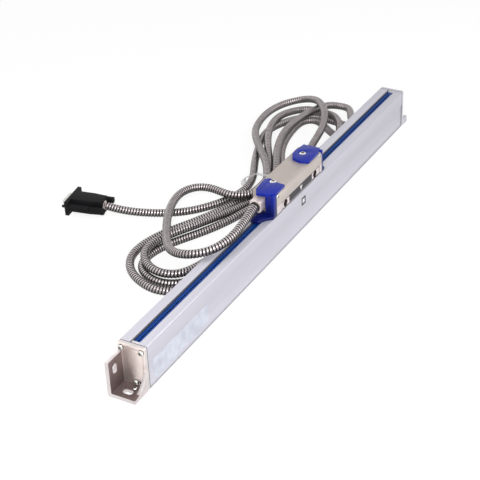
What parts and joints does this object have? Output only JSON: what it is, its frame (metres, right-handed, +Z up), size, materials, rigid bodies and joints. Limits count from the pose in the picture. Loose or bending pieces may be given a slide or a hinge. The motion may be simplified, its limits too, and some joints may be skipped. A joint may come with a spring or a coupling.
{
  "type": "enclosed linear glass scale",
  "caption": "Aluminium housing with a slotted, lip-sealed top, end caps with slotted mounting walls, a sliding reading head, and a coiled armoured lead with a D-sub plug.",
  "frame": {"origin": "middle of the housing's underside, on the mount underside", "axes": "+X along the scale, away from the end that the lead leaves the head by; +Y towards the back, where the lead lies; +Z up"},
  "size_m": [0.5785, 0.2459, 0.0698],
  "materials": {
    "housing_metal": "satin anodised",
    "cap_metal": "satin cast",
    "screw_steel": "plated",
    "lip_blue": "matt",
    "seal_black": "matt",
    "white_plastic": "matt",
    "scale_glass": "polished, with a fine line grating",
    "head_metal": "fine matt paint",
    "blade_steel": "ground",
    "bracket_blue": "gloss",
    "carriage_plastic": "matt",
    "roller_steel": "polished",
    "board_green": "solder mask",
    "brass": "plain",
    "strip_grey": "matt",
    "gland_nickel": "nickel plated",
    "armour_steel": "interlocked steel armour",
    "hood_black": "fine grain",
    "plug_steel": "tin plated"
  },
  "bodies": {
    "scale_unit": {"housing": "housing_metal", "glass_scale": "scale_glass", "glass_bond": "seal_black", "lip_front": "lip_blue", "lip_back": "lip_blue", "slot_plug_near": "white_plastic", "slot_plug_far": "white_plastic", "end_cap_near": "cap_metal", "end_cap_far": "cap_metal", "gasket_near": "seal_black", "gasket_far": "seal_black", "end_screws_near": "screw_steel", "end_screws_far": "screw_steel", "air_plugs": "seal_black", "ground_screw": "screw_steel"},
    "reading_head": {"head_block": "head_metal", "base_plate": "housing_metal", "corner_screws": "screw_steel", "blade": "blade_steel", "blade_screws": "screw_steel", "coupling_wire": "blade_steel", "carriage": "carriage_plastic", "roller_pins": "screw_steel", "lamp": "white_plastic", "lens": "scale_glass", "index_grating": "scale_glass", "photocell_board": "board_green", "head_board": "board_green", "board_posts": "brass", "front_strip": "strip_grey", "index_mark": "white_plastic", "bracket_near": "bracket_blue", "bracket_far": "bracket_blue", "bracket_screws": "screw_steel", "gland_body": "gland_nickel", "gland_nut": "gland_nickel", "cable": "armour_steel", "cable_tie": "white_plastic", "plug_hood_lower": "hood_black", "plug_hood_upper": "hood_black", "plug_screws": "screw_steel", "plug_collar": "plug_steel", "plug_shell": "plug_steel", "plug_insulator": "hood_black", "plug_pins": "brass"},
    "roller_edge_near_body": {"roller_edge_near": "roller_steel"},
    "roller_edge_far_body": {"roller_edge_far": "roller_steel"},
    "roller_face_near_body": {"roller_face_near": "roller_steel"},
    "roller_face_far_body": {"roller_face_far": "roller_steel"},
    "roller_face_low_body": {"roller_face_low": "roller_steel"},
    "thumbscrew_left_body": {"thumbscrew_left": "hood_black"},
    "thumbscrew_right_body": {"thumbscrew_right": "hood_black"}
  },
  "joints": [
    {"name": "head_slide", "type": "slide", "parent": "scale_unit", "child": "reading_head", "axis": [1, 0, 0], "range_m": [-0.2375, 0.2125]},
    {"name": "roller_edge_near_spin", "type": "hinge", "parent": "reading_head", "child": "roller_edge_near_body", "pos_m": [-0.001, 0.003, 0.02755], "axis": [0, 1, 0], "continuous": true},
    {"name": "roller_edge_far_spin", "type": "hinge", "parent": "reading_head", "child": "roller_edge_far_body", "pos_m": [0.031, 0.003, 0.02755], "axis": [0, 1, 0], "continuous": true},
    {"name": "roller_face_near_spin", "type": "hinge", "parent": "reading_head", "child": "roller_face_near_body", "pos_m": [-0.009, -0.00205, 0.0205], "axis": [0, 0, 1], "continuous": true},
    {"name": "roller_face_far_spin", "type": "hinge", "parent": "reading_head", "child": "roller_face_far_body", "pos_m": [0.039, -0.00205, 0.0205], "axis": [0, 0, 1], "continuous": true},
    {"name": "roller_face_low_spin", "type": "hinge", "parent": "reading_head", "child": "roller_face_low_body", "pos_m": [0.015, -0.00205, 0.0133], "axis": [0, 0, 1], "continuous": true},
    {"name": "thumbscrew_left_turn", "type": "hinge", "parent": "reading_head", "child": "thumbscrew_left_body", "pos_m": [-0.05731, 0.22283, 0.00775], "axis": [-0.1736, 0.9848, 0], "continuous": true},
    {"name": "thumbscrew_right_turn", "type": "hinge", "parent": "reading_head", "child": "thumbscrew_right_body", "pos_m": [-0.03269, 0.22717, 0.00775], "axis": [-0.1736, 0.9848, 0], "continuous": true}
  ],
  "couplings": [
    {"joint": "roller_edge_near_spin", "follows": "head_slide", "rad_per_m": 250},
    {"joint": "roller_edge_far_spin", "follows": "head_slide", "rad_per_m": 250},
    {"joint": "roller_face_near_spin", "follows": "head_slide", "rad_per_m": 285.71},
    {"joint": "roller_face_far_spin", "follows": "head_slide", "rad_per_m": 285.71},
    {"joint": "roller_face_low_spin", "follows": "head_slide", "rad_per_m": 285.71}
  ]
}
